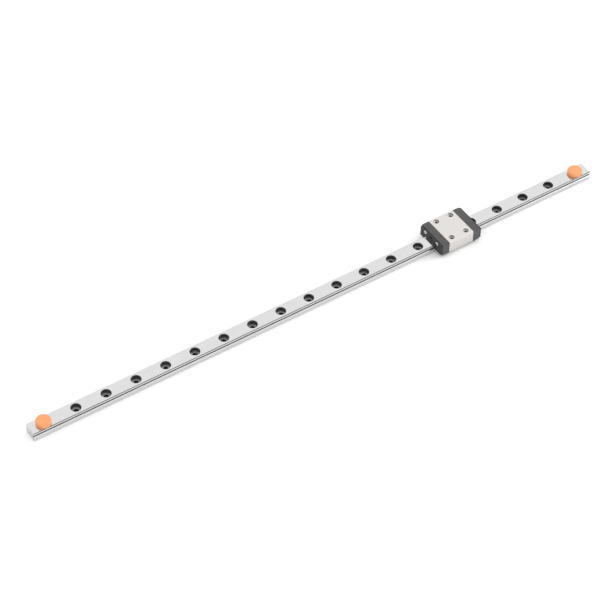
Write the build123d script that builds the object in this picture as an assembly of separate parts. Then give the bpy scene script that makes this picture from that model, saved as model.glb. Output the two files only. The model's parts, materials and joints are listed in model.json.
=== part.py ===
"""Miniature linear guide: a 7 mm profile rail, its ball carriage and two rail stoppers.

Millimetres. X runs along the rail, Y across it and Z up. The origin is the middle of the rail's
underside. The carriage is drawn about its own middle and then set on the rail where it stands.
Front is the -X end and rear is the +X end. Left is +Y and right is -Y.
"""
from build123d import *
import os
from math import cos, pi, sin

os.makedirs("parts", exist_ok=True)

# Rail
rail_length = 300.0
rail_width = 7.0
rail_height = 4.8
rail_top_chamfer = 0.25
rail_bottom_chamfer = 0.3
rail_end_chamfer = 0.15
rail_hole_count = 20
rail_hole_pitch = 15.0
rail_hole_radius = 1.2
counterbore_radius = 2.1
counterbore_depth = 2.3
counterbore_rim = 0.35

# Balls, their grooves and the path that they circulate on
ball_radius = 0.794
groove_radius = 0.815
tunnel_radius = 0.85
loaded_row_y = 3.85
return_row_y = 6.35
ball_row_z = 3.0
balls_per_circuit = 21
turn_radius = (return_row_y - loaded_row_y) / 2
turn_centre_y = (return_row_y + loaded_row_y) / 2

# Ball retainer wire, which runs in a relief slot at the bottom of the rail's groove
wire_radius = 0.2
wire_gap_to_ball = 0.02
wire_y = loaded_row_y - ball_radius - wire_gap_to_ball - wire_radius
wire_bend_radius = 0.4
wire_hook_x = 9.7
wire_hook_y = 5.2
hook_hole_radius = 0.23
relief_half_height = 0.36
relief_bottom_y = 2.58

# Carriage block
block_length = 13.5
block_width = 17.0
block_bottom = 1.5
block_top = 8.0
block_top_chamfer = 0.3
block_bottom_chamfer = 0.4
block_end_chamfer = 0.2
channel_half_width = 4.0
channel_top = 5.2

# Threaded mounting holes in the block's top
mount_spacing_x = 8.0
mount_spacing_y = 12.0
mount_hole_radius = 1.0
mount_hole_depth = 2.5
mount_hole_rim_radius = 1.3
mount_hole_rim_depth = 0.3

# Ball return cores, one at each corner between block and end cap
core_plate_thickness = 0.5
core_plate_inner_y = 3.75
core_plate_outer_y = 7.75
core_plate_bottom = 1.95
core_plate_top = 4.05

# End caps
cap_length = 3.7
cap_width = 16.8
cap_bottom = 1.6
cap_top = 7.8
cap_corner_radius = 0.3
cap_edge_radius = 0.35
cap_gap = 0.12

# End seals
seal_thickness = 0.8
seal_width = 16.4
seal_bottom = 1.85
seal_top = 7.4
seal_corner_radius = 0.4
seal_edge_chamfer = 0.1
seal_gap = 0.05

# Lubrication port
port_z = 6.5
port_radius = 0.6
port_entry_radius = 0.65
duct_z = 7.4
duct_width = 0.3
duct_depth = 0.4

# End cap screws
screw_y = 4.5
screw_z = 6.15
screw_radius = 0.79
screw_thread_depth = 1.5
screw_head_radius = 0.95
screw_head_height = 0.9
screw_head_crown = 0.3
screw_recess_width = 0.3
screw_recess_length = 1.1
screw_recess_depth = 0.45
tapped_hole_radius = 0.8
tapped_hole_depth = 1.7
screw_clearance_radius = 0.9
screw_head_clearance_radius = 1.1

# Rail stoppers
stopper_head_radius = 3.5
stopper_head_height = 1.9
stopper_head_edge = 0.6
stopper_head_offset = 0.8  # how far the head sits beyond its plug, towards the rail's end
stopper_seat_gap = 0.02
stopper_plug_radius = 2.05
stopper_plug_length = 2.1
stopper_plug_chamfer = 0.3

# Where the carriage stands on the rail at rest
carriage_rest_x = 71.0

block_end = block_length / 2
turn_face = block_end + core_plate_thickness
cap_end = block_end + cap_length
seal_end = cap_end + seal_thickness
through = 1.0  # how far a cutting tool runs past the face that it cuts
upwards = (Align.CENTER, Align.CENTER, Align.MIN)
downwards = (Align.CENTER, Align.CENTER, Align.MAX)


def mirrored(points):
    """The right half of an outline, from bottom to top, with its mirror image on the left."""
    return points + [(-y, z) for y, z in reversed(points)]


def along_x(section, start, end):
    """A solid with this section in the YZ plane, from one place along X to another."""
    return extrude(Plane.YZ.offset(start) * section, amount=end - start)


def rod_along_x(radius, y, z, start, end):
    """A round rod parallel to the rail."""
    return along_x(Pos(y, z) * Circle(radius), start, end)


def both_sides(shape):
    """A shape and its mirror image across the rail."""
    return shape + mirror(shape, about=Plane.XZ)


def rail_section(gap, bottom):
    """The rail's section without its relief slots, grown by a gap."""
    half_width = rail_width / 2 + gap
    top = rail_height + gap
    corner = rail_top_chamfer
    points = [(half_width, bottom), (half_width, top - corner), (half_width - corner, top)]
    section = Polygon(*mirrored(points), align=None)
    for side in (-1, 1):
        section -= Pos(side * loaded_row_y, ball_row_z) * Circle(groove_radius - gap)
    return section


def make_rail():
    rail = along_x(rail_section(0.0, 0.0), -rail_length / 2, rail_length / 2)
    bottom_edges = rail.faces().sort_by(Axis.Z)[0].edges().filter_by(Axis.X)
    rail = chamfer(bottom_edges, rail_bottom_chamfer)
    for place in (0, -1):
        end_face = rail.faces().sort_by(Axis.X)[place]
        top_edge = end_face.edges().sort_by(Axis.Z)[-1]
        rail = chamfer(top_edge, rail_end_chamfer)
    slot_width = loaded_row_y - relief_bottom_y
    slot = Box(rail_length + 2 * through, slot_width, 2 * relief_half_height)
    rail -= both_sides(Pos(0, relief_bottom_y + slot_width / 2, ball_row_z) * slot)
    hole = Cylinder(rail_hole_radius, 2 * rail_height)
    floor_z = rail_height - counterbore_depth
    hole += Pos(0, 0, floor_z) * Cylinder(counterbore_radius, rail_height, align=upwards)
    rim = Cone(counterbore_radius, counterbore_radius + counterbore_rim, counterbore_rim)
    hole += Pos(0, 0, rail_height - counterbore_rim / 2) * rim
    rail -= GridLocations(rail_hole_pitch, 0, rail_hole_count, 1) * hole
    return rail


def make_block():
    half_width = block_width / 2
    points = [
        (half_width - block_bottom_chamfer, block_bottom),
        (half_width, block_bottom + block_bottom_chamfer),
        (half_width, block_top - block_top_chamfer),
        (half_width - block_top_chamfer, block_top),
    ]
    outline = Polygon(*mirrored(points), align=None)
    block = along_x(outline, -block_end, block_end)
    end_faces = block.faces().filter_by(Axis.X)
    block = chamfer(end_faces.edges(), block_end_chamfer)
    channel_height = channel_top - block_bottom + through
    channel = Pos(0, channel_top - channel_height / 2) * Rectangle(2 * channel_half_width, channel_height)
    block -= along_x(channel, -block_end - through, block_end + through)
    groove = rod_along_x(groove_radius, loaded_row_y, ball_row_z, -block_end, block_end)
    tunnel = rod_along_x(tunnel_radius, return_row_y, ball_row_z, -block_end, block_end)
    block -= both_sides(groove + tunnel)
    hole = Cylinder(mount_hole_radius, mount_hole_depth, align=downwards)
    hole += Cone(mount_hole_radius, mount_hole_rim_radius, mount_hole_rim_depth, align=downwards)
    hole = Pos(0, 0, block_top) * hole
    block -= GridLocations(mount_spacing_x, mount_spacing_y, 2, 2) * hole
    tapped_end = block_end - tapped_hole_depth
    for y in (-screw_y, screw_y):
        block -= rod_along_x(tapped_hole_radius, y, screw_z, tapped_end, block_end + through)
        block -= rod_along_x(tapped_hole_radius, y, screw_z, -block_end - through, -tapped_end)
    return block


def turn_channel():
    """The half ring that the balls follow from the loaded row round to the return row, on the left."""
    ring = Torus(turn_radius, tunnel_radius)
    reach = turn_radius + tunnel_radius
    beyond_face = Pos(reach, 0, 0) * Box(2 * reach, 2 * reach, 2 * tunnel_radius)
    return Pos(turn_face, turn_centre_y, ball_row_z) * (ring & beyond_face)


def core_spool():
    """The half disc inside the turn, before the balls' path is cut from its rim."""
    disc = Cylinder(turn_radius, 2 * tunnel_radius)
    beyond_face = Pos(turn_radius, 0, 0) * Box(2 * turn_radius, 2 * turn_radius, 2 * tunnel_radius)
    return Pos(turn_face, turn_centre_y, ball_row_z) * (disc & beyond_face)


def core_plate():
    """The plate that seats the core against the end of the block, on the left."""
    width = core_plate_outer_y - core_plate_inner_y
    height = core_plate_top - core_plate_bottom
    plate = Pos(core_plate_inner_y + width / 2, core_plate_bottom + height / 2) * Rectangle(width, height)
    return along_x(plate, block_end, turn_face)


def make_return_core():
    """The rear left return core."""
    core = core_plate() + (core_spool() - turn_channel())
    for row_y in (loaded_row_y, return_row_y):
        core -= rod_along_x(tunnel_radius, row_y, ball_row_z, block_end - through, turn_face)
    return core


def make_ducts():
    """The port, and the grooves in the cap's inner face that lead grease over the screws to both turns."""
    rise_height = duct_z - port_z
    drop_height = duct_z - core_plate_top
    section = Pos(0, duct_z) * Rectangle(2 * return_row_y + duct_width, duct_width)
    section += Pos(0, port_z + rise_height / 2) * Rectangle(duct_width, rise_height)
    for y in (-return_row_y, return_row_y):
        section += Pos(y, duct_z - drop_height / 2) * Rectangle(duct_width, drop_height)
    ducts = along_x(section, block_end, block_end + duct_depth)
    return ducts + rod_along_x(port_radius, 0, port_z, block_end, cap_end)


def make_end_cap():
    """The rear end cap."""
    half_width = cap_width / 2
    points = [(half_width, cap_bottom), (half_width, cap_top)]
    cap = along_x(Polygon(*mirrored(points), align=None), block_end, cap_end)
    upper_corners = cap.edges().filter_by(Axis.X).group_by(Axis.Z)[-1]
    cap = fillet(upper_corners, cap_corner_radius)
    outer_face = cap.faces().sort_by(Axis.X)[-1]
    rounded_edges = outer_face.edges().sort_by(Axis.Z)[1:]
    cap = fillet(rounded_edges, cap_edge_radius)
    cap -= along_x(rail_section(cap_gap, cap_bottom - through), block_end - through, cap_end + through)
    cap -= both_sides(core_plate())
    cap -= both_sides(core_spool() + turn_channel())
    ball_entry = rod_along_x(tunnel_radius, loaded_row_y, ball_row_z, block_end - through, turn_face)
    cap -= both_sides(ball_entry)
    cap -= make_ducts()
    for y in (-screw_y, screw_y):
        cap -= rod_along_x(screw_clearance_radius, y, screw_z, block_end - through, cap_end + through)
    hook_hole = Rot(90, 0, 0) * Cylinder(hook_hole_radius, wire_hook_y, align=upwards)
    cap -= both_sides(Pos(wire_hook_x, wire_hook_y, ball_row_z) * hook_hole)
    return cap


def make_end_seal():
    """The rear end seal, with lips that follow the rail."""
    half_width = seal_width / 2
    points = [(half_width, seal_bottom), (half_width, seal_top)]
    seal = along_x(Polygon(*mirrored(points), align=None), cap_end, seal_end)
    upper_corners = seal.edges().filter_by(Axis.X).group_by(Axis.Z)[-1]
    seal = fillet(upper_corners, seal_corner_radius)
    outer_face = seal.faces().sort_by(Axis.X)[-1]
    seal = chamfer(outer_face.edges(), seal_edge_chamfer)
    seal -= along_x(rail_section(seal_gap, seal_bottom - through), cap_end - through, seal_end + through)
    seal -= rod_along_x(port_entry_radius, 0, port_z, cap_end - through, seal_end + through)
    for y in (-screw_y, screw_y):
        seal -= rod_along_x(screw_head_clearance_radius, y, screw_z, cap_end - through, seal_end + through)
    return seal


def make_cap_screw(y):
    """One rear cap screw with a crowned head and a cross recess."""
    head_end = cap_end + screw_head_height
    screw = rod_along_x(screw_radius, y, screw_z, block_end - screw_thread_depth, cap_end)
    head = rod_along_x(screw_head_radius, y, screw_z, cap_end, head_end)
    rim = head.faces().sort_by(Axis.X)[-1].edges()
    screw += fillet(rim, screw_head_crown)
    cross = Rectangle(screw_recess_length, screw_recess_width)
    cross += Rectangle(screw_recess_width, screw_recess_length)
    screw -= along_x(Pos(y, screw_z) * cross, head_end - screw_recess_depth, head_end + through)
    return screw


def make_wire():
    """The left retainer wire: a straight run with a hook at each end."""
    corners = [
        (-wire_hook_x, wire_hook_y, ball_row_z),
        (-wire_hook_x, wire_y, ball_row_z),
        (wire_hook_x, wire_y, ball_row_z),
        (wire_hook_x, wire_hook_y, ball_row_z),
    ]
    path = FilletPolyline(*corners, radius=wire_bend_radius)
    start = Plane(origin=path @ 0, z_dir=path % 0)
    return sweep(start * Circle(wire_radius), path=path)


def ball_places():
    """Ball centres on the left circuit, in order, as (zone, x, y)."""
    straight = 2 * turn_face
    turn = pi * turn_radius
    circuit = 2 * (straight + turn)
    places = []
    for number in range(balls_per_circuit):
        travelled = (straight / 2 + number * circuit / balls_per_circuit) % circuit
        if travelled <= straight:
            places.append(("loaded", travelled - straight / 2, loaded_row_y))
        elif travelled < straight + turn:
            angle = (travelled - straight) / turn_radius
            x = turn_face + turn_radius * sin(angle)
            places.append(("turning", x, turn_centre_y - turn_radius * cos(angle)))
        elif travelled <= 2 * straight + turn:
            x = straight / 2 - (travelled - straight - turn)
            places.append(("returning", x, return_row_y))
        else:
            angle = (travelled - 2 * straight - turn) / turn_radius
            x = -turn_face - turn_radius * sin(angle)
            places.append(("turning", x, turn_centre_y + turn_radius * cos(angle)))
    return places


def make_balls(zone, side):
    """The balls in one zone of one circuit, as separate solids. Side is 1 on the left, -1 on the right."""
    ball = Sphere(ball_radius)
    balls = [Pos(x, side * y, ball_row_z) * ball for place, x, y in ball_places() if place == zone]
    return Compound(children=balls)


def make_stopper(end):
    """The rail stopper for one end: a round head over a plug that fits the counterbore."""
    head_bottom = rail_height + stopper_seat_gap
    head = Cylinder(stopper_head_radius, stopper_head_height, align=upwards)
    head = fillet(head.faces().sort_by(Axis.Z)[-1].edges(), stopper_head_edge)
    head = Pos(end * stopper_head_offset, 0, 0) * head
    plug = Cylinder(stopper_plug_radius, stopper_plug_length, align=downwards)
    plug = chamfer(plug.faces().sort_by(Axis.Z)[0].edges(), stopper_plug_chamfer)
    return Pos(0, 0, head_bottom) * (head + plug)


def save(shape, node):
    export_step(shape, f"parts/{node}.step")


def save_on_carriage(shape, node):
    save(Pos(carriage_rest_x, 0, 0) * shape, node)


save(make_rail(), "rail")

last_hole_x = (rail_hole_count - 1) / 2 * rail_hole_pitch
for end_name, end in (("front", -1), ("rear", 1)):
    save(Pos(end * last_hole_x, 0, 0) * make_stopper(end), f"rail_stopper_{end_name}")

save_on_carriage(make_block(), "carriage_block")

rear_pieces = {
    "end_cap": make_end_cap(),
    "end_seal": make_end_seal(),
    "cap_screws": Compound(children=[make_cap_screw(y) for y in (-screw_y, screw_y)]),
}
for name, piece in rear_pieces.items():
    save_on_carriage(piece, f"{name}_rear")
    save_on_carriage(mirror(piece, about=Plane.YZ), f"{name}_front")

rear_left_core = make_return_core()
left_wire = make_wire()
for side_name, side in (("left", 1), ("right", -1)):
    rear_core = rear_left_core if side == 1 else mirror(rear_left_core, about=Plane.XZ)
    wire = left_wire if side == 1 else mirror(left_wire, about=Plane.XZ)
    save_on_carriage(rear_core, f"return_core_rear_{side_name}")
    save_on_carriage(mirror(rear_core, about=Plane.YZ), f"return_core_front_{side_name}")
    save_on_carriage(wire, f"retainer_wire_{side_name}")
    for zone in ("loaded", "turning", "returning"):
        save_on_carriage(make_balls(zone, side), f"{zone}_balls_{side_name}")
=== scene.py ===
"""Studio scene of the miniature linear guide: its finishes, small modelled details, light and camera.

Lengths are in metres, or in millimetres where they are multiplied by MM. X runs along the rail, Y across
it and Z up, as in the CAD frame. The camera looks at the guide from its front right, from above.
"""
import json
import math

import bmesh
import bpy
from mathutils import Matrix, Vector


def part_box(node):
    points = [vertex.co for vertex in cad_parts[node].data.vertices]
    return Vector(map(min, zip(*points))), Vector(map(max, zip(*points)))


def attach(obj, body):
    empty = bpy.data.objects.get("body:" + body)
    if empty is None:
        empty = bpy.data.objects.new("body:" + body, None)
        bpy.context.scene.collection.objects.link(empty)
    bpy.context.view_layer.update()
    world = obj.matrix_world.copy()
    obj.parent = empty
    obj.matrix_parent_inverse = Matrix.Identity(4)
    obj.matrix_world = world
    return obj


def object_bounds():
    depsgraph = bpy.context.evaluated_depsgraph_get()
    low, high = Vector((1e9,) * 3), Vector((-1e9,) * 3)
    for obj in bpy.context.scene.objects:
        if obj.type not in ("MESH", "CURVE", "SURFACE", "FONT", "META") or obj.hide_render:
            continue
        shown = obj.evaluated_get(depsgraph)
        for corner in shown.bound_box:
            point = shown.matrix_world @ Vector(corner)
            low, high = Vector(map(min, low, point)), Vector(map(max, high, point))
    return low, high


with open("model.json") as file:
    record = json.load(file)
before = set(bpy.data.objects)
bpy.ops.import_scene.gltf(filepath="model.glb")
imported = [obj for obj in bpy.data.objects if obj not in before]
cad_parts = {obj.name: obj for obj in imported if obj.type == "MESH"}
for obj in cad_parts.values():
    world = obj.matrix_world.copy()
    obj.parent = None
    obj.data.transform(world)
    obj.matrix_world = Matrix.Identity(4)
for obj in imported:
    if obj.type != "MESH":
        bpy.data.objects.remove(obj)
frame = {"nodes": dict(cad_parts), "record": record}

MM = 0.001
cad_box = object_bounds()
nodes = frame["nodes"]
mounts = {mount["name"]: mount for mount in frame["record"]["mounts"]}

# The camera: where it aims, the direction it stands in, and its lens on a 36 mm sensor
camera_aim = Vector((-8.723, 5.190, -0.595)) * MM
camera_azimuth = math.radians(-34.288)
camera_elevation = math.radians(46.490)
camera_roll = math.radians(1.116)
camera_distance = 1.0826
camera_lens = 144.08
camera_sensor = 36.0

# The studio: an even white dome, and one softbox beyond the rear end of the rail
dome_strength = 1.2
softbox_azimuth = math.radians(72.0)
softbox_elevation = math.radians(30.0)
softbox_distance = 1.3
softbox_side = 0.8
softbox_power = 4.5
floor_colour = (0.94, 0.94, 0.94, 1.0)
floor_half_side = 3.0
floor_drop = 0.01 * MM  # how far the floor lies below the rail

# Places on the rail that keep the dark scale from hardening, because only its outside is ground; their dark
# tone is also painted shade in the holes and relief slots and a painted dark reflection on the top chamfers
rail_hole_pitch = 15.0 * MM
countersink_radius = 2.49 * MM
through_hole_radius = 1.22 * MM
counterbore_floor_z = 2.5 * MM
rail_top_chamfer = 0.25 * MM
relief_slot_half_height = 0.42 * MM
relief_slot_bottom_y = 2.57 * MM
relief_slot_mouth_y = 3.16 * MM
skin = 0.012 * MM  # how far inside a face a mask starts
whole_pitches = 100.0  # added so that only steps above zero are split into whole and part

# The block's mounting holes and their threads
tapped_rim_radius = 1.33 * MM
tapped_wall_radius = 1.01 * MM
# Painted light on the tapped holes' walls reaches down to the first depth and fades into full painted shade
# by the second
tapped_light_depth = 0.5 * MM
tapped_dark_depth = 1.7 * MM
thread_pitch = 0.4 * MM
thread_height = 0.18 * MM
thread_depth = 2.4 * MM
thread_lead_in = 0.3 * MM
thread_steps_per_turn = 32
thread_foot = 0.40 * thread_pitch  # half the ridge's height along the hole, at the wall
thread_crest = 0.08 * thread_pitch  # and at its tip
thread_root_depth = 0.02 * MM  # how far the ridge reaches into the wall
thread_thinnest = 0.05  # share of the ridge's height that is left at its ends

# Lips of the end seals, a bead round the window that the rail passes through
lip_radius = 0.11 * MM
lip_gap = 0.05 * MM
lip_setback = 0.08 * MM
rail_groove_radius = 0.815 * MM
rail_groove_y = 3.85 * MM
rail_groove_z = 3.0 * MM
groove_steps = 10
bead_corners = 8

# Grain of the finishes along X, Y and Z
rail_grinding_grain = Vector((18, 0.10, 0.10)) * MM
block_grinding_grain = Vector((6, 0.09, 0.09)) * MM
cloud_grain = Vector((9, 2.5, 2.5)) * MM
scratch_grain = Vector((30, 0.22, 0.22)) * MM
scale_grain = Vector((0.35, 0.35, 0.35)) * MM
oil_grain = Vector((0.3, 0.3, 0.3)) * MM
flow_grain = Vector((1.6, 2.4, 1.2)) * MM

# Depth of the fine bumps, and radius of the worn edges
ground_depth = 0.0006 * MM
bright_depth = 0.0004 * MM
moulded_depth = 0.006 * MM
ground_edge = 0.12 * MM
bright_edge = 0.06 * MM
moulded_edge = 0.18 * MM

# Colours of the steel; pairs are the darkest and lightest tone of a mottled surface
rail_grey = (0.64, 0.64, 0.645, 1.0)
# Duller grey of the rail's sawn ends, which also serves as painted shade on the end faces
sawn_and_shaded_grey = (0.55, 0.55, 0.55, 1.0)
# Dark hardening scale, which also serves as painted shade in the rail's holes and relief slots and as a
# painted dark reflection on its top chamfers
scale_and_shade_tones = (0.035, 0.032, 0.03, 1.0), (0.12, 0.115, 0.11, 1.0)
# Machined screw seats in the rail's holes, painted lighter than the ground rail as a painted highlight
seat_highlight_tones = (0.70, 0.70, 0.70, 1.0), (0.86, 0.86, 0.86, 1.0)
block_grey = (0.66, 0.64, 0.625, 1.0)
# Painted shade deep in the block's tapped holes, mottled
hole_shade_tones = (0.035, 0.033, 0.03, 1.0), (0.09, 0.086, 0.08, 1.0)
# Painted light on the upper walls of the block's tapped holes
lit_wall_tones = (0.84, 0.83, 0.82, 1.0), (0.94, 0.93, 0.92, 1.0)
ball_grey = (0.72, 0.72, 0.73, 1.0)
wire_grey = (0.62, 0.62, 0.63, 1.0)
screw_grey = (0.66, 0.66, 0.66, 1.0)

# Colours of the plastics and the rubber: the darkest and lightest tone, and the tone of worn edges
cap_tones = (0.038, 0.039, 0.037, 1.0), (0.062, 0.063, 0.061, 1.0), (0.074, 0.075, 0.073, 1.0)
core_tones = (0.58, 0.56, 0.49, 1.0), (0.66, 0.64, 0.57, 1.0), (0.74, 0.72, 0.66, 1.0)
seal_tones = (0.014, 0.014, 0.014, 1.0), (0.024, 0.024, 0.024, 1.0), (0.035, 0.035, 0.035, 1.0)
stopper_tones = (0.76, 0.29, 0.105, 1.0), (0.79, 0.33, 0.125, 1.0), (0.84, 0.40, 0.17, 1.0)


# ---------------------------------------------------------------- finishes

class Finish:
    """A Principled material, with short calls for the nodes that vary it over the surface."""

    def __init__(self, name, **constants):
        self.material = bpy.data.materials.new(name)
        self.material.use_nodes = True
        self.tree = self.material.node_tree
        self.shader = self.tree.nodes["Principled BSDF"]
        for socket, value in constants.items():
            self.shader.inputs[socket.replace("_", " ")].default_value = value
        self.place = self.add("TexCoord").outputs["Object"]

    def add(self, kind, inputs=(), **settings):
        node = self.tree.nodes.new("ShaderNode" + kind)
        for name, value in settings.items():
            setattr(node, name, value)
        for socket, value in dict(inputs).items():
            if isinstance(value, bpy.types.NodeSocket):
                self.tree.links.new(value, node.inputs[socket])
            else:
                node.inputs[socket].default_value = value
        return node

    def set(self, socket, value):
        self.tree.links.new(value, self.shader.inputs[socket])

    def noise(self, grain, detail=3.0, seed=0.0):
        """Noise from 0 to 1 with grains of this size along X, Y and Z."""
        stretch = [1 / size for size in grain]
        inputs = {"Vector": self.place, "Scale": stretch, "Location": (seed, seed, seed)}
        mapped = self.add("Mapping", inputs).outputs["Vector"]
        inputs = {"Vector": mapped, "Scale": 1.0, "Detail": detail}
        return self.add("TexNoise", inputs).outputs["Fac"]

    def spread(self, value, low, high, to_low=0.0, to_high=1.0):
        """Maps low..high to to_low..to_high, clamped."""
        inputs = {"Value": value, "From Min": low, "From Max": high, "To Min": to_low, "To Max": to_high}
        return self.add("MapRange", inputs).outputs["Result"]

    def calculate(self, operation, a, b=0.0):
        return self.add("Math", {0: a, 1: b}, operation=operation).outputs[0]

    def axes(self):
        """The place's X, Y and Z."""
        separate = self.add("SeparateXYZ", {0: self.place})
        return [separate.outputs[axis] for axis in "XYZ"]

    def size(self, value):
        return self.calculate("ABSOLUTE", value)

    def less(self, a, b):
        return self.calculate("LESS_THAN", a, b)

    def more(self, a, b):
        return self.calculate("GREATER_THAN", a, b)

    def both(self, a, b):
        return self.calculate("MULTIPLY", a, b)

    def either(self, a, b):
        return self.calculate("MAXIMUM", a, b)

    def radius(self, x, y):
        """How far a place is from an axis along Z."""
        level = self.add("CombineXYZ", {"X": x, "Y": y}).outputs["Vector"]
        return self.add("VectorMath", {0: level}, operation="LENGTH").outputs["Value"]

    def mix(self, share, a, b):
        """Colour a where share is 0, colour b where it is 1."""
        return self.add("Mix", {0: share, 6: a, 7: b}, data_type="RGBA").outputs[2]

    def edges(self, radius):
        """A mask that is 1 along outside and inside edges, and the normal rounded over them."""
        rounded = self.add("Bevel", {"Radius": radius}, samples=6).outputs["Normal"]
        flat = self.add("NewGeometry").outputs["Normal"]
        likeness = self.add("VectorMath", {0: rounded, 1: flat}, operation="DOT_PRODUCT").outputs["Value"]
        return self.spread(likeness, 0.995, 0.9), rounded

    def bump(self, height, depth, strength=1.0, normal=None):
        inputs = {"Height": height, "Distance": depth, "Strength": strength}
        if normal is not None:
            inputs["Normal"] = normal
        return self.add("Bump", inputs).outputs["Normal"]


def shade(colour, factor):
    return tuple(channel * factor for channel in colour[:3]) + (1.0,)


def ground_steel(name, colour, roughness, grain):
    """Steel ground along X: fine long grinding marks, faint clouding and brighter edges."""
    finish = Finish(name, Metallic=1.0)
    marks = finish.noise(grain, detail=4.0)
    clouds = finish.noise(cloud_grain, detail=2.0, seed=3.0)
    scratches = finish.spread(finish.noise(scratch_grain, seed=7.0), 0.66, 0.74)
    worn, rounded = finish.edges(ground_edge)
    tone = finish.mix(finish.spread(marks, 0.3, 0.7), shade(colour, 0.95), shade(colour, 1.03))
    tone = finish.mix(finish.spread(clouds, 0.35, 0.75, 0.0, 0.5), tone, shade(colour, 0.94))
    tone = finish.mix(finish.both(scratches, 0.25), tone, shade(colour, 0.82))
    tone = finish.mix(finish.both(worn, 0.5), tone, shade(colour, 1.1))
    gloss = finish.spread(marks, 0.25, 0.75, roughness * 0.75, roughness * 1.3)
    gloss = finish.calculate("ADD", gloss, finish.spread(clouds, 0.3, 0.7, -0.02, 0.04))
    finish.set("Normal", finish.bump(marks, ground_depth, normal=rounded))
    return finish, tone, gloss


def rail_hole_masks(finish, x, y, z):
    """Masks that are 1 inside the rail's holes, and 1 on the machined seats of the screw heads in them."""
    steps = finish.calculate("ADD", finish.calculate("DIVIDE", x, rail_hole_pitch), whole_pitches)
    from_hole = finish.calculate("SUBTRACT", finish.calculate("FRACT", steps), 0.5)
    radius = finish.radius(finish.calculate("MULTIPLY", from_hole, rail_hole_pitch), y)
    below_top = finish.less(z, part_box("rail")[1].z - skin)
    inside = finish.both(finish.less(radius, countersink_radius), below_top)
    from_seat = finish.size(finish.calculate("SUBTRACT", z, counterbore_floor_z))
    seat = finish.both(finish.less(from_seat, skin), finish.more(radius, through_hole_radius))
    return inside, finish.both(seat, inside)


def top_chamfer_mask(finish, y, z):
    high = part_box("rail")[1]
    diagonal = finish.calculate("ADD", finish.size(y), z)
    on_slope = finish.more(diagonal, high.y + high.z - rail_top_chamfer - skin)
    between = finish.both(finish.less(z, high.z - skin), finish.less(finish.size(y), high.y - skin))
    return finish.both(on_slope, between)


def relief_slot_mask(finish, y, z):
    from_middle = finish.size(finish.calculate("SUBTRACT", z, rail_groove_z))
    level = finish.less(from_middle, relief_slot_half_height)
    past_mouth = finish.less(finish.size(y), relief_slot_mouth_y)
    before_bottom = finish.more(finish.size(y), relief_slot_bottom_y)
    return finish.both(level, finish.both(past_mouth, before_bottom))


def rail_steel():
    """Ground steel, with sawn ends in a duller grey that is also painted shade, dark hardening scale that is
    also painted shade in the holes and relief slots and a painted dark reflection on the top chamfers, and a
    painted highlight on the screw seats in the holes."""
    finish, tone, gloss = ground_steel("rail_ground_steel", rail_grey, 0.14, rail_grinding_grain)
    x, y, z = finish.axes()
    # The end faces take a darker grey: partly their sawn finish, partly painted shade
    end_faces = finish.more(finish.size(x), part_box("rail")[1].x - skin)
    tone = finish.mix(end_faces, tone, sawn_and_shaded_grey)
    inside, seat = rail_hole_masks(finish, x, y, z)
    outside = finish.either(top_chamfer_mask(finish, y, z), relief_slot_mask(finish, y, z))
    # Dark scale together with painted shade in the holes and relief slots, and a painted dark reflection on
    # the top chamfers
    scale_and_shade = finish.either(inside, outside)
    mottled = finish.noise(scale_grain, detail=4.0, seed=11.0)
    scale_and_shade_tone = finish.mix(mottled, *scale_and_shade_tones)
    # Painted highlight on the screw seats
    seat_highlight_tone = finish.mix(mottled, *seat_highlight_tones)
    finish.set("Base Color", finish.mix(scale_and_shade, tone, finish.mix(seat, scale_and_shade_tone, seat_highlight_tone)))
    finish.set("Roughness", finish.spread(scale_and_shade, 0.0, 1.0, gloss, 0.45))
    return finish.material


def tapped_hole_masks(finish):
    """Masks of the block's mounting holes: 1 inside their rims, and from 1 to 0 down their walls, which
    carries painted light near the rims into painted shade deeper down.
    """
    low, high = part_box("carriage_block")
    pattern = mounts["carriage_bolts"]["dims"]
    x, y, z = finish.axes()
    from_middle = finish.size(finish.calculate("SUBTRACT", x, (low.x + high.x) / 2))
    across = finish.calculate("SUBTRACT", finish.size(y), pattern["spacing_y_mm"] / 2 * MM)
    along = finish.calculate("SUBTRACT", from_middle, pattern["spacing_x_mm"] / 2 * MM)
    radius = finish.radius(along, across)
    inside = finish.both(finish.less(radius, tapped_rim_radius), finish.less(z, high.z - skin))
    lit = finish.spread(z, high.z - tapped_dark_depth, high.z - tapped_light_depth)
    return inside, finish.both(lit, finish.less(radius, tapped_wall_radius))


def carriage_steel():
    """Ground steel of a warmer tint, with painted light on the upper walls of its tapped holes that fades
    into mottled painted shade deeper down.
    """
    finish, tone, gloss = ground_steel("carriage_ground_steel", block_grey, 0.24, block_grinding_grain)
    inside, lit = tapped_hole_masks(finish)
    oily = finish.noise(oil_grain, seed=13.0)
    # Painted light on the upper hole walls, fading into painted shade deeper down
    hole_tone = finish.mix(lit, finish.mix(oily, *hole_shade_tones), finish.mix(oily, *lit_wall_tones))
    finish.set("Base Color", finish.mix(inside, tone, hole_tone))
    finish.set("Roughness", gloss)
    return finish.material


def bright_steel(name, colour, roughness, grain):
    """Small bright steel pieces: balls, wires and screws, with fine handling marks."""
    finish = Finish(name, Metallic=1.0)
    marks = finish.noise((grain,) * 3, detail=4.0)
    worn, rounded = finish.edges(bright_edge)
    tone = finish.mix(finish.spread(marks, 0.35, 0.65), shade(colour, 0.93), shade(colour, 1.04))
    finish.set("Base Color", finish.mix(finish.both(worn, 0.5), tone, shade(colour, 1.15)))
    finish.set("Roughness", finish.spread(marks, 0.3, 0.7, roughness * 0.7, roughness * 1.4))
    finish.set("Normal", finish.bump(marks, bright_depth, normal=rounded))
    return finish.material


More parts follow.
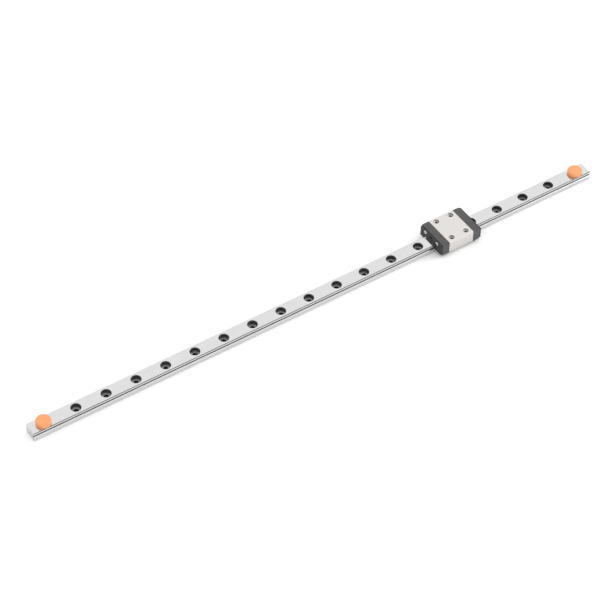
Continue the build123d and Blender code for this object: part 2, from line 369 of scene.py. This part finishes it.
def moulded(name, tones, roughness, grain=0.12 * MM, **constants):
    """Moulded plastic or rubber: fine grained skin, faint flow mottling and paler worn edges."""
    dark, light, edge_light = tones
    finish = Finish(name, **constants)
    grains = finish.noise((grain,) * 3, detail=3.0)
    flow = finish.noise(flow_grain, detail=3.0, seed=5.0)
    worn, rounded = finish.edges(moulded_edge)
    tone = finish.mix(finish.spread(flow, 0.3, 0.7), dark, light)
    tone = finish.mix(finish.spread(grains, 0.55, 0.8, 0.0, 0.35), tone, edge_light)
    finish.set("Base Color", finish.mix(finish.both(worn, 0.55), tone, edge_light))
    finish.set("Roughness", finish.spread(grains, 0.3, 0.7, roughness * 0.85, roughness * 1.15))
    finish.set("Normal", finish.bump(grains, moulded_depth, strength=0.6, normal=rounded))
    return finish.material


finishes = {
    "rail_steel": rail_steel(),
    "carriage_steel": carriage_steel(),
    "ball_steel": bright_steel("polished_balls", ball_grey, 0.06, 0.5 * MM),
    "wire_steel": bright_steel("drawn_wire", wire_grey, 0.22, 0.15 * MM),
    "screw_steel": bright_steel("bright_screws", screw_grey, 0.20, 0.12 * MM),
    "cap_plastic": moulded("cap_moulded_plastic", cap_tones, 0.46),
    "core_plastic": moulded("core_moulded_plastic", core_tones, 0.45),
    "seal_rubber": moulded("seal_moulded_rubber", seal_tones, 0.62),
    "stopper_plastic": moulded("stopper_soft_plastic", stopper_tones, 0.42, grain=0.25 * MM,
                               Subsurface_Weight=0.25, Subsurface_Scale=0.6 * MM),
}

for node in nodes.values():
    for material_slot in node.material_slots:
        material_slot.material = finishes[material_slot.material.name]


# ---------------------------------------------------------------- small modelled details

def add_piece(name, mesh, body, slot):
    """Shows a mesh as a piece that rides on a body and takes a slot's finish."""
    for polygon in mesh.polygons:
        polygon.use_smooth = True
    piece = bpy.data.objects.new(name, mesh)
    bpy.context.scene.collection.objects.link(piece)
    mesh.materials.append(finishes[slot])
    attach(piece, body)
    return piece


def join_rings(shape, rings):
    """Faces between one ring of points and the next, and across the first and last ring."""
    for ring, following in zip(rings, rings[1:]):
        for corner in range(len(ring)):
            beside = (corner + 1) % len(ring)
            shape.faces.new((ring[corner], ring[beside], following[beside], following[corner]))
    shape.faces.new(rings[0])
    shape.faces.new(rings[-1][::-1])


def finished_mesh(name, shape):
    bmesh.ops.recalc_face_normals(shape, faces=shape.faces)
    mesh = bpy.data.meshes.new(name)
    shape.to_mesh(mesh)
    shape.free()
    return mesh


def thread_mesh(name, mouth, radius):
    """A screw thread's ridge that winds down the wall of a hole from its mouth, fading in and out."""
    turns = (thread_depth - thread_lead_in) / thread_pitch - 1
    steps = int(turns * thread_steps_per_turn)
    buried = radius + thread_root_depth
    shape = bmesh.new()
    rings = []
    for step in range(steps + 1):
        angle = step / thread_steps_per_turn * 2 * math.pi
        fade = min(1.0, 2 * step / thread_steps_per_turn, 2 * (steps - step) / thread_steps_per_turn)
        tip = buried - (thread_height + thread_root_depth) * max(fade, thread_thinnest)
        drop = thread_lead_in + thread_pitch * (0.5 + step / thread_steps_per_turn)
        profile = (
            (buried, thread_foot),
            (tip, thread_crest),
            (tip, -thread_crest),
            (buried, -thread_foot),
        )
        outward = Vector((math.cos(angle), math.sin(angle), 0))
        rings.append([shape.verts.new(mouth + outward * reach + Vector((0, 0, rise - drop)))
                      for reach, rise in profile])
    join_rings(shape, rings)
    return finished_mesh(name, shape)


def add_threads():
    pattern = mounts["carriage_bolts"]
    half_x = pattern["dims"]["spacing_x_mm"] / 2 * MM
    half_y = pattern["dims"]["spacing_y_mm"] / 2 * MM
    radius = pattern["dims"]["hole_r_mm"] * MM
    low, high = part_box("carriage_block")
    centre = (low + high) / 2
    for end_name, end in (("front", -1), ("rear", 1)):
        for side_name, side in (("left", 1), ("right", -1)):
            name = f"thread_{end_name}_{side_name}"
            mouth = Vector((centre.x + end * half_x, centre.y + side * half_y, high.z))
            add_piece(name, thread_mesh(name, mouth, radius), "carriage", "carriage_steel")


def seal_window():
    """The outline of the seal's window in the YZ plane, up the right side and down the left, with lobes for
    the rail's grooves."""
    rail_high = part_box("rail")[1]
    seal_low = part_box("end_seal_front")[0]
    half_width = rail_high.y + lip_gap
    top = rail_high.z + lip_gap
    reach = rail_groove_radius - lip_gap
    half_angle = math.acos((rail_groove_y - half_width) / reach)
    right = [(half_width, seal_low.z + lip_radius)]
    for step in range(groove_steps + 1):
        angle = half_angle * (2 * step / groove_steps - 1)
        right.append((rail_groove_y - reach * math.cos(angle), rail_groove_z + reach * math.sin(angle)))
    right += [(half_width, top - rail_top_chamfer), (half_width - rail_top_chamfer, top)]
    return [(-y, z) for y, z in right] + right[::-1]


def lip_mesh(name, x):
    """A round bead along the seal's window, set back so that it never reaches past the window's edge."""
    outline = [Vector((0, y, z)) for y, z in seal_window()]
    shape = bmesh.new()
    rings = []
    for index, point in enumerate(outline):
        before = outline[max(index - 1, 0)]
        after = outline[min(index + 1, len(outline) - 1)]
        forward = (after - before).normalized()
        outward = Vector((0, -forward.z, forward.y))
        ring = []
        for corner in range(bead_corners):
            angle = corner / bead_corners * 2 * math.pi
            offset = outward * (lip_radius * (1 + math.cos(angle)))
            along = Vector((x + lip_radius * math.sin(angle), 0, 0))
            ring.append(shape.verts.new(point + offset + along))
        rings.append(ring)
    join_rings(shape, rings)
    return finished_mesh(name, shape)


def add_lips():
    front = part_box("end_seal_front")[0].x + lip_setback
    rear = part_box("end_seal_rear")[1].x - lip_setback
    for end_name, x in (("front", front), ("rear", rear)):
        name = f"seal_lip_{end_name}"
        add_piece(name, lip_mesh(name, x), "carriage", "seal_rubber")


add_threads()
add_lips()


# ---------------------------------------------------------------- studio and camera

def direction(azimuth, elevation):
    """From the object towards a place in the studio. Azimuth 0 is the -Y side and 90 the +X side."""
    level = math.cos(elevation)
    return Vector((math.sin(azimuth) * level, -math.cos(azimuth) * level, math.sin(elevation)))


def add_floor():
    shape = bmesh.new()
    bmesh.ops.create_grid(shape, x_segments=8, y_segments=8, size=floor_half_side)
    bmesh.ops.translate(shape, verts=shape.verts, vec=(0, 0, cad_box[0].z - floor_drop))
    floor = bpy.data.objects.new("floor", finished_mesh("floor", shape))
    bpy.context.scene.collection.objects.link(floor)
    finish = Finish("floor_paper", Base_Color=floor_colour, Roughness=0.9, Specular_IOR_Level=0.2)
    floor.data.materials.append(finish.material)


def add_softbox():
    light = bpy.data.lights.new("softbox", "AREA")
    light.size = softbox_side
    light.energy = softbox_power
    softbox = bpy.data.objects.new("softbox", light)
    bpy.context.scene.collection.objects.link(softbox)
    towards = direction(softbox_azimuth, softbox_elevation)
    softbox.location = towards * softbox_distance
    softbox.rotation_euler = towards.to_track_quat("Z", "Y").to_euler()


def add_dome():
    world = bpy.data.worlds.new("studio")
    bpy.context.scene.world = world
    world.use_nodes = True
    background = world.node_tree.nodes["Background"]
    background.inputs["Color"].default_value = (1.0, 1.0, 1.0, 1.0)
    background.inputs["Strength"].default_value = dome_strength


def add_camera():
    data = bpy.data.cameras.new("camera")
    data.lens = camera_lens
    data.sensor_width = camera_sensor
    data.clip_start = 0.01
    data.clip_end = 10.0
    camera = bpy.data.objects.new("camera", data)
    bpy.context.scene.collection.objects.link(camera)
    back = direction(camera_azimuth, camera_elevation)
    right = Vector((0, 0, 1)).cross(back).normalized()
    up = back.cross(right)
    turn = Matrix((right, up, back)).transposed() @ Matrix.Rotation(camera_roll, 3, "Z")
    camera.matrix_world = Matrix.Translation(camera_aim + back * camera_distance) @ turn.to_4x4()
    bpy.context.scene.camera = camera


add_floor()
add_softbox()
add_dome()
add_camera()
bpy.context.scene.view_settings.view_transform = "Standard"
